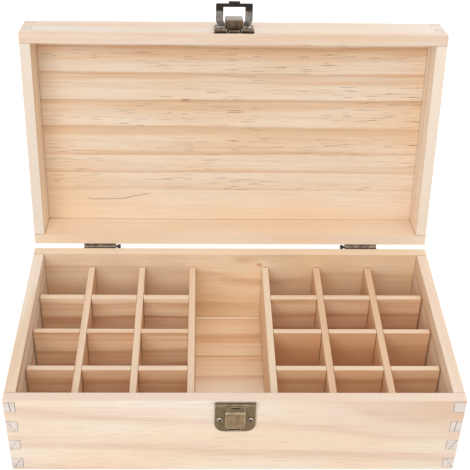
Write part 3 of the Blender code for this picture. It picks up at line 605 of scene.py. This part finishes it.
# Each wall and panel: its axes, its detail, and its inputs of the wood group
WALLS = {
    "base_front": (FRONT_AXES, front_blush, {
        "Seed": 3.1, "Pith Across": 0.150, "Pith Depth": 0.010, "Ring Width": 0.0225,
        "Wander": 0.0075, "Edge": 0.36, "Phase": 0.54, "Tilt": -0.065, "Dip": 0.022,
        "Dip Along": 0.110, "Drift": 0.55, "Contrast": 0.68, "Line": 0.28, "Ticks": 0.25,
        "Early": FRONT_CREAM, "Late": PINK_BAND, "Rim Share": 0.8, "Rim": RIM_PINK}),
    "base_back": (FRONT_AXES, None, {
        "Seed": 8.4, "Pith Across": 0.125, "Pith Depth": 0.050, "Ring Width": 0.0300,
        "Wander": 0.0040, "Edge": 0.35, "Phase": 0.05, "Tilt": -0.04, "Dip": 0.016,
        "Dip Along": 0.026, "Drift": 0.15, "Contrast": 0.55, "Line": 0.55, "Knot": 1.0,
        "Knot Along": KNOT_X, "Knot Across": KNOT_Z, "Early": HONEY, "Late": HONEY_TAN,
        "Rim Share": 0.6, "Rim": RIM_BUFF}),
    "base_left_side": (SIDE_AXES, cutter_marks, {
        "Seed": 12.7, "Pith Across": 0.120, "Pith Depth": -0.120, "Ring Width": 0.0150,
        "Wander": 0.0070, "Tilt": 0.05, "Early": CREAM, "Late": WARM, "End": END_LILAC,
        "Rim Share": 0.6, "Rim": RIM_PALE}),
    "base_right_side": (SIDE_AXES, cutter_marks, {
        "Seed": 17.9, "Pith Across": 0.075, "Pith Depth": 0.162, "Ring Width": 0.0120,
        "Wander": 0.0060, "Contrast": 0.7, "Early": PALE, "Late": WARM, "End": END_LILAC,
        "Rim Share": 0.7, "Rim": RIM_PINK}),
    "base_bottom": (FLAT_AXES, floor_band_and_painted_light, {
        "Seed": 21.3, "Pith Across": -0.030, "Pith Depth": -0.012, "Ring Width": 0.0210,
        "Wander": 0.0022, "Edge": 0.10, "Contrast": 0.9, "Early": FLOOR_EARLY,
        "Late": FLOOR_LATE}),
    "lid_front": (FRONT_AXES, None, {
        "Seed": 26.6, "Pith Across": 0.180, "Pith Depth": -0.080, "Ring Width": 0.0200,
        "Wander": 0.0020, "Phase": 0.075, "Drift": 0.1, "Contrast": 0.75, "Line": 0.1,
        "Early": LID_GREY, "Late": PINK_TAN}),
    "lid_back": (FRONT_AXES, None, {
        "Seed": 31.2, "Pith Across": 0.060, "Pith Depth": 0.060, "Ring Width": 0.0160,
        "Wander": 0.0030, "Contrast": 0.35, "Line": 0.2, "Ticks": 0.0, "Early": BACK_PALE,
        "Late": BACK_WARM}),
    "lid_left_side": (SIDE_AXES, cutter_marks, {
        "Seed": 36.8, "Pith Across": 0.160, "Pith Depth": -0.110, "Ring Width": 0.0170,
        "Wander": 0.0050, "Contrast": 0.55, "Early": SIDE_PALE, "Late": SIDE_WARM,
        "Rim Share": 0.85, "Rim": RIM_GREY}),
    "lid_right_side": (SIDE_AXES, cutter_marks, {
        "Seed": 41.5, "Pith Across": 0.020, "Pith Depth": 0.100, "Ring Width": 0.0160,
        "Wander": 0.0040, "Contrast": 0.55, "Early": SIDE_PALE, "Late": SIDE_WARM,
        "Rim Share": 0.7, "Rim": RIM_PALE}),
    "lid_top": (FLAT_AXES, panel_vein, {
        "Seed": 46.2, "Pith Across": 0.0100, "Pith Depth": 0.0890, "Ring Width": 0.0169,
        "Skew": 9.8, "Wander": 0.0026, "Edge": 0.09, "Phase": 0.73, "Gather": 1.1,
        "Drift": 0.12, "Contrast": 1.1, "Ticks": 0.8, "Calm From": 0.0510,
        "Early": PANEL_CREAM, "Late": PANEL_TAN}),
}

# Inputs that all dividers share and that all strips share, and how others grow with the number
DIVIDER = {"Pith Across": 0.09, "Wander": 0.0030, "Contrast": 0.5, "Late": CELL_LATE,
           "End": END_BUFF, "Rim Share": 0.9}
DIVIDER_PITH_STEP = 0.012
DIVIDER_RING = 0.0065
DIVIDER_RING_STEP = 0.001
STRIP = {"Ring Width": 0.0110, "Wander": 0.0050, "Edge": 0.25, "Contrast": 0.8, "Late": CELL_LATE,
         "End": END_BUFF, "Rim Share": 0.9, "Rim": RIM_BUFF}
STRIP_PITH_STEP = -0.01
STRIP_DEPTH_STEP = 0.03
GRID_SEED = 50.0
SEED_GAP = 4.3

# Early-wood tone of each divider and strip, and tone of each divider's rim, by grid
DIVIDER_TONES = {"left": (HONEY, CELL_WARM, CELL_HONEY),
                 "right": (HONEY, CELL_HONEY, CELL_WARM)}
DIVIDER_RIMS = {"left": (RIM_TAN, RIM_BUFF, RIM_BUFF),
                "right": (RIM_BUFF, RIM_BROWN, RIM_BROWN)}
STRIP_TONES = {"left": (CELL_WARM, CELL_CREAM, CELL_CREAM),
               "right": (CELL_WARM, CELL_RUST, CELL_HONEY)}


def dress_board(name, axes, figure, detail=None):
    """Give one board its own pine."""
    is_lid = name.startswith("lid")
    put_material(name, wood_material("pine_" + name, axes, is_lid, figure, detail))


def dress_wood():
    """Give every wall, panel, divider and strip its own pine."""
    for name, (axes, detail, figure) in WALLS.items():
        dress_board(name, axes, figure, detail)
    seed = GRID_SEED
    for grid in DIVIDER_TONES:
        tones = zip(DIVIDER_TONES[grid], DIVIDER_RIMS[grid], STRIP_TONES[grid])
        for number, (divider_tone, rim_tone, strip_tone) in enumerate(tones, 1):
            name = f"{grid}_divider_{number}"
            seed += SEED_GAP
            dress_board(name, SIDE_AXES, {
                **DIVIDER, "Seed": seed, "Pith Depth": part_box(name)[1].x + DIVIDER_PITH_STEP * number,
                "Ring Width": DIVIDER_RING + DIVIDER_RING_STEP * number,
                "Early": divider_tone, "Rim": rim_tone})
            seed += SEED_GAP
            dress_board(f"{grid}_cross_strip_{number}", FRONT_AXES, {
                **STRIP, "Seed": seed, "Pith Across": STRIP_PITH_STEP * number,
                "Pith Depth": STRIP_DEPTH_STEP * number, "Early": strip_tone})


# Antique bronze: dark patina in the hollows with painted shade, olive brown on the faces, and edges
# lighter from rubbing with painted highlight.
# A noise has pieces per metre, detail and roughness.
MOTTLES = (260.0, 3.0, 0.6)
SPECKS = (1400.0, 2.0, 0.6)
SPECK_SPAN = (0.62, 0.80)
SPECK_SHARE = 0.35
EDGE_WEAR_AND_LIGHT_RADIUS = 0.0006
EDGE_WEAR_AND_LIGHT_SAMPLES = 6
EDGE_WEAR_AND_LIGHT_SPAN = (0.998, 0.93)
EDGE_WEAR_AND_LIGHT_PATCHES = (0.30, 0.60)
BAR_BLUR = 0.0010
ROOF_FACING = (0.15, 0.75)
# Painted shade in the middle of a screw's head, over its recess
HEAD_SHADE_SPAN = (0.72, 0.42)
HEAD_SHADE_SHARE = 0.95
# Crevices: dark patina, deepened by painted shade in gaps and under parts
CREVICE_PATINA_AND_SHADE_REACH = 0.0022
CREVICE_PATINA_AND_SHADE_SAMPLES = 8
CREVICE_PATINA_AND_SHADE_SPAN = (0.85, 0.40)
CREVICE_PATINA_AND_SHADE_SHARE = 0.9
METAL_ROUGH_GAIN = 0.25
METAL_ROUGH_LEAST = 0.30
METAL_BUMP = 0.25
METAL_SHARE = 0.85
# Near-black: the pins' and the bail bar's dark tone and dark patina in crevices, and painted shade in
# crevices, screw recesses and on the bail's edges
DARK_PATINA_AND_SHADE = srgb(34, 27, 22)


def bronze_material(name, dark, face, edge_wear_and_light, mottle, edge_wear_and_light_share, detail=None):
    """Plated metal with a mottled patina, edges lighter from rubbing and painted highlight (darker as
    painted shade on the bail), and crevices dark from patina and painted shade.
    """
    material, graph, shader = new_material(name)
    place = graph.add("ShaderNodeTexCoord").outputs
    cloud = graph.even_noise(place["Object"], *MOTTLES)
    speck = graph.even_noise(place["Object"], *SPECKS)
    patina = graph.step(cloud, NOISE_MIDDLE - mottle, NOISE_MIDDLE + mottle)
    colour = graph.mix(patina, dark, face)
    colour = graph.mix(graph.step(speck, *SPECK_SPAN, 0.0, SPECK_SHARE), colour, dark)
    # Edges: rubbed wear plus painted highlight, and on the bail painted shade
    eased = graph.add("ShaderNodeBevel", {"Radius": EDGE_WEAR_AND_LIGHT_RADIUS}, samples=EDGE_WEAR_AND_LIGHT_SAMPLES).outputs[0]
    true = graph.add("ShaderNodeNewGeometry").outputs["Normal"]
    edge = graph.step(graph.vector("DOT_PRODUCT", eased, true), *EDGE_WEAR_AND_LIGHT_SPAN)
    edge_wear_and_light_mask = graph.math("MULTIPLY", edge, graph.step(cloud, *EDGE_WEAR_AND_LIGHT_PATCHES, edge_wear_and_light_share / 2, edge_wear_and_light_share))
    colour = graph.mix(edge_wear_and_light_mask, colour, edge_wear_and_light)
    if detail:
        colour = detail(graph, place, colour)
    # Crevices darken with dark patina and painted shade where parts meet
    crevice_patina_and_shade = graph.step(graph.openness(CREVICE_PATINA_AND_SHADE_REACH, CREVICE_PATINA_AND_SHADE_SAMPLES), *CREVICE_PATINA_AND_SHADE_SPAN, 0.0, CREVICE_PATINA_AND_SHADE_SHARE)
    graph.put(shader.inputs["Base Color"], graph.mix(crevice_patina_and_shade, colour, DARK_PATINA_AND_SHADE))
    graph.put(shader.inputs["Roughness"],
              graph.math("MULTIPLY_ADD", speck, METAL_ROUGH_GAIN, METAL_ROUGH_LEAST))
    graph.put(shader.inputs["Normal"], graph.bump(speck, METAL_BUMP, BUMP_DEPTH))
    shader.inputs["Metallic"].default_value = METAL_SHARE
    return material


def top_of(name, drop):
    """The height that lies a little below a node's top."""
    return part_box(name)[1].z - drop


def toned_above(start, tone, share):
    """A detail that tones a piece above a height."""
    def detail(graph, place, colour):
        z = graph.split(place["Object"])[2]
        upper = graph.step(z, start - BAR_BLUR, start + BAR_BLUR, 0.0, share)
        return graph.mix(upper, colour, tone)
    return detail


def painted_light_roof(start, tone):
    """A detail that paints light on the faces turned up above a height: a painted highlight on the roof.
    """
    def detail(graph, place, colour):
        up = graph.step(graph.split(place["Normal"])[2], *ROOF_FACING)
        above = graph.step(graph.split(place["Object"])[2], start - BAR_BLUR, start)
        return graph.mix(graph.math("MULTIPLY", up, above), colour, tone)
    return detail


def head_recess_shade(centre, radius):
    """A detail that paints shade in the middle of a screw's head, over its recess."""
    def detail(graph, place, colour):
        out = graph.vector("DISTANCE", place["Object"], centre)
        middle = graph.step(out, *[share * radius for share in HEAD_SHADE_SPAN], 0.0, HEAD_SHADE_SHARE)
        return graph.mix(middle, colour, DARK_PATINA_AND_SHADE)
    return detail


# Tones of the metal
RUBBED_HIGHLIGHT = srgb(226, 212, 182)
RUBBED_SHINE = srgb(228, 220, 206)
STEEL = srgb(134, 127, 121)
BAR_TONE = (DARK_PATINA_AND_SHADE, 0.95)
BAR_DROP = 0.0062
LEVER_TOP_TONE = (srgb(92, 74, 54), 0.55)
LEVER_TOP_DROP = 0.0052
# Painted light on the hood's up-facing roof
ROOF_PAINTED_LIGHT = srgb(128, 120, 106)
ROOF_DROP = 0.0040

# Finishes by the first of these words that is in a piece's name. Each gives the material's name,
# the dark, face and edge tones, the mottling's span, the edge tone's share and any detail. The edge
# tone is rubbed wear with painted highlight, and on the bail painted shade.
FINISHES = {
    "pin": ("bronze_pin", DARK_PATINA_AND_SHADE, srgb(66, 58, 50), STEEL, 0.2, 0.4),
    "hinge": ("bronze_hinge", srgb(76, 63, 56), srgb(138, 124, 106), RUBBED_SHINE, 0.2, 0.15),
    "latch_lever": ("bronze_lever", srgb(120, 100, 78), srgb(150, 128, 97), RUBBED_HIGHLIGHT, 0.22, 1.0,
                    toned_above(top_of("latch_lever", LEVER_TOP_DROP), *LEVER_TOP_TONE)),
    "latch_bail_plate": ("bronze_hood", srgb(66, 54, 44), srgb(98, 80, 62), RUBBED_HIGHLIGHT, 0.2, 0.8,
                         painted_light_roof(top_of("latch_bail_plate", ROOF_DROP), ROOF_PAINTED_LIGHT)),
    "latch_bail": ("bronze_bail", srgb(84, 77, 72), STEEL, DARK_PATINA_AND_SHADE, 0.2, 0.6,
                   toned_above(top_of("latch_bail", BAR_DROP), *BAR_TONE)),
    "latch_catch_plate": ("bronze_plate", srgb(96, 81, 61), srgb(131, 110, 82), RUBBED_HIGHLIGHT, 0.34, 0.8),
}
SCREW_FINISH = (srgb(142, 118, 94), srgb(196, 184, 164), RUBBED_SHINE, 0.2, 1.0)


def screw_material(name):
    """The finish of one screw, with painted shade round the middle of its head."""
    low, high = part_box(name)
    size = high - low
    long = max(range(3), key=lambda axis: size[axis])
    diameter = sorted(size)[1]
    centre = (low + high) / 2
    if name.startswith("latch_catch"):
        centre[long] = low[long]
    elif name.startswith("latch_bail"):
        centre[long] = high[long]
    return bronze_material("bronze_" + name, *SCREW_FINISH, head_recess_shade(centre, diameter / 2))


def is_wood(name):
    """True for a board, and false for a piece of metal."""
    return name in WALLS or "divider" in name or "strip" in name


def dress_metal():
    """Finish the latch, the hinges and the screws."""
    finishes = {word: bronze_material(*finish) for word, finish in FINISHES.items()}
    for name in NODES:
        if is_wood(name):
            continue
        if "screw" in name:
            put_material(name, screw_material(name))
        else:
            put_material(name, finishes[next(word for word in FINISHES if word in name)])


# Rounding of the edges, and where shading breaks
WELD_DISTANCE = 0.00001
FLAT_DEGREES = 1.0
BEVEL_DEGREES = 40.0
SHARP_DEGREES = 32.0
WOOD_ROUNDING = 0.00030
METAL_ROUNDING = 0.00010
ROUNDING_SEGMENTS = 2


def smooth_group():
    """Geometry nodes that shade smoothly over every edge but a sharp one."""
    tree = bpy.data.node_groups.new("Smooth by angle", "GeometryNodeTree")
    for direction in ("INPUT", "OUTPUT"):
        tree.interface.new_socket("Geometry", in_out=direction, socket_type="NodeSocketGeometry")
    graph = Graph(tree)
    given = graph.add("NodeGroupInput").outputs[0]
    faces = graph.add("GeometryNodeSetShadeSmooth", {"Geometry": given, "Shade Smooth": True},
                      domain="FACE")
    angle = graph.add("GeometryNodeInputMeshEdgeAngle").outputs[0]
    sharp = graph.add("FunctionNodeCompare", operation="GREATER_THAN", data_type="FLOAT")
    graph.put(sharp.inputs[0], angle)
    graph.put(sharp.inputs[1], math.radians(SHARP_DEGREES))
    inputs = {"Geometry": faces.outputs[0], "Selection": sharp.outputs[0], "Shade Smooth": False}
    edges = graph.add("GeometryNodeSetShadeSmooth", inputs, domain="EDGE")
    graph.put(graph.add("NodeGroupOutput").inputs[0], edges.outputs[0])
    return tree


SMOOTH = smooth_group()


def ease_edges(name):
    """Round the edges of a CAD node with modifiers, and leave its own mesh alone."""
    node = NODES[name]
    weld = node.modifiers.new("Weld", "WELD")
    weld.merge_threshold = WELD_DISTANCE
    flatten = node.modifiers.new("Flatten", "DECIMATE")
    flatten.decimate_type = "DISSOLVE"
    flatten.angle_limit = math.radians(FLAT_DEGREES)
    bevel = node.modifiers.new("Ease", "BEVEL")
    bevel.width = WOOD_ROUNDING if is_wood(name) else METAL_ROUNDING
    bevel.segments = ROUNDING_SEGMENTS
    bevel.limit_method = "ANGLE"
    bevel.angle_limit = math.radians(BEVEL_DEGREES)
    bevel.use_clamp_overlap = True
    if is_wood(name):
        return
    smooth = node.modifiers.new("Smooth", "NODES")
    smooth.node_group = SMOOTH
    even = node.modifiers.new("Even", "WEIGHTED_NORMAL")
    even.keep_sharp = True


# Camera, fitted to corners of the box in the photograph: turn in degrees, lens in millimetres
CAMERA_PLACE = (-0.0215, -0.5494, 0.5342)
CAMERA_TURN = (52.528, -0.832, -0.772)
CAMERA_LENS = 79.67
CAMERA_SENSOR = 36.0
CAMERA_SHIFT = (0.0267, 0.0577)
CAMERA_NEAR = 0.01

# Floor, whose glow grows from one distance to the other, and world
FLOOR_SIZE = 8.0
FLOOR_DROP = 0.0002
FLOOR_TONE = srgb(236, 236, 236)
FLOOR_ROUGHNESS = 0.8
FLOOR_GLOW = 0.42
FAR_FLOOR = (0.45, 1.30)
WHITE = (1.0, 1.0, 1.0, 1.0)
SHOWN_WHITE = 1.0
WORLD_LIGHT = 0.50

# Lamps: place, size and power, and the point that they shine at
LAMPS = {
    "key": ((-0.45, -1.25, 0.90), 1.1, 10.2),
    "top": ((0.25, -0.20, 1.60), 1.2, 7.0),
    "back": ((0.55, 1.30, 0.75), 1.2, 6.5),
}
AIM = Vector((0.0, 0.03, 0.08))


def seen(graph):
    """1 where the camera, a mirrored ray or a ray through a piece looks, and 0 for light."""
    path = graph.add("ShaderNodeLightPath").outputs
    direct = graph.math("MAXIMUM", path["Is Camera Ray"], path["Is Glossy Ray"])
    return graph.math("MAXIMUM", direct, path["Is Transmission Ray"])


def make_floor():
    """A pale floor that looks white where no shadow falls on it."""
    half = FLOOR_SIZE / 2
    mesh = bpy.data.meshes.new("floor")
    corners = [(-half, -half, -FLOOR_DROP), (half, -half, -FLOOR_DROP), (half, half, -FLOOR_DROP),
               (-half, half, -FLOOR_DROP)]
    mesh.from_pydata(corners, [], [(0, 1, 2, 3)])
    floor = bpy.data.objects.new("floor", mesh)
    bpy.context.scene.collection.objects.link(floor)
    material, graph, shader = new_material("floor_white")
    place = graph.add("ShaderNodeTexCoord").outputs["Object"]
    glow = graph.step(graph.vector("LENGTH", place), *FAR_FLOOR, FLOOR_GLOW, SHOWN_WHITE)
    shader.inputs["Base Color"].default_value = FLOOR_TONE
    shader.inputs["Roughness"].default_value = FLOOR_ROUGHNESS
    shader.inputs["Specular IOR Level"].default_value = 0.0
    shader.inputs["Emission Color"].default_value = WHITE
    graph.put(shader.inputs["Emission Strength"], graph.math("MULTIPLY", seen(graph), glow))
    mesh.materials.append(material)


def make_lamp(name, place, size, power):
    """A large soft square lamp that shines at the box."""
    light = bpy.data.lights.new(name, "AREA")
    light.shape = "SQUARE"
    light.size = size
    light.energy = power
    lamp = bpy.data.objects.new(name, light)
    lamp.location = place
    lamp.rotation_euler = (AIM - Vector(place)).to_track_quat("-Z", "Y").to_euler()
    bpy.context.scene.collection.objects.link(lamp)


def make_world():
    """White where it is seen or mirrored, and softer as a light."""
    world = bpy.data.worlds.new("studio")
    world.use_nodes = True
    graph = Graph(world.node_tree)
    background = world.node_tree.nodes["Background"]
    background.inputs["Color"].default_value = WHITE
    strength = graph.math("MULTIPLY_ADD", seen(graph), SHOWN_WHITE - WORLD_LIGHT, WORLD_LIGHT)
    graph.put(background.inputs["Strength"], strength)
    bpy.context.scene.world = world


def make_camera():
    """The photograph's view."""
    data = bpy.data.cameras.new("camera")
    data.sensor_width = CAMERA_SENSOR
    data.lens = CAMERA_LENS
    data.shift_x, data.shift_y = CAMERA_SHIFT
    data.clip_start = CAMERA_NEAR
    camera = bpy.data.objects.new("camera", data)
    camera.location = CAMERA_PLACE
    camera.rotation_euler = [math.radians(angle) for angle in CAMERA_TURN]
    bpy.context.scene.collection.objects.link(camera)
    bpy.context.scene.camera = camera


def make_studio():
    """Camera, floor, lamps and world."""
    make_camera()
    make_floor()
    for name, lamp in LAMPS.items():
        make_lamp(name, *lamp)
    make_world()
    bpy.context.scene.view_settings.view_transform = "Standard"


dress_wood()
dress_metal()
for node_name in NODES:
    ease_edges(node_name)
make_studio()
bpy.context.view_layer.update()
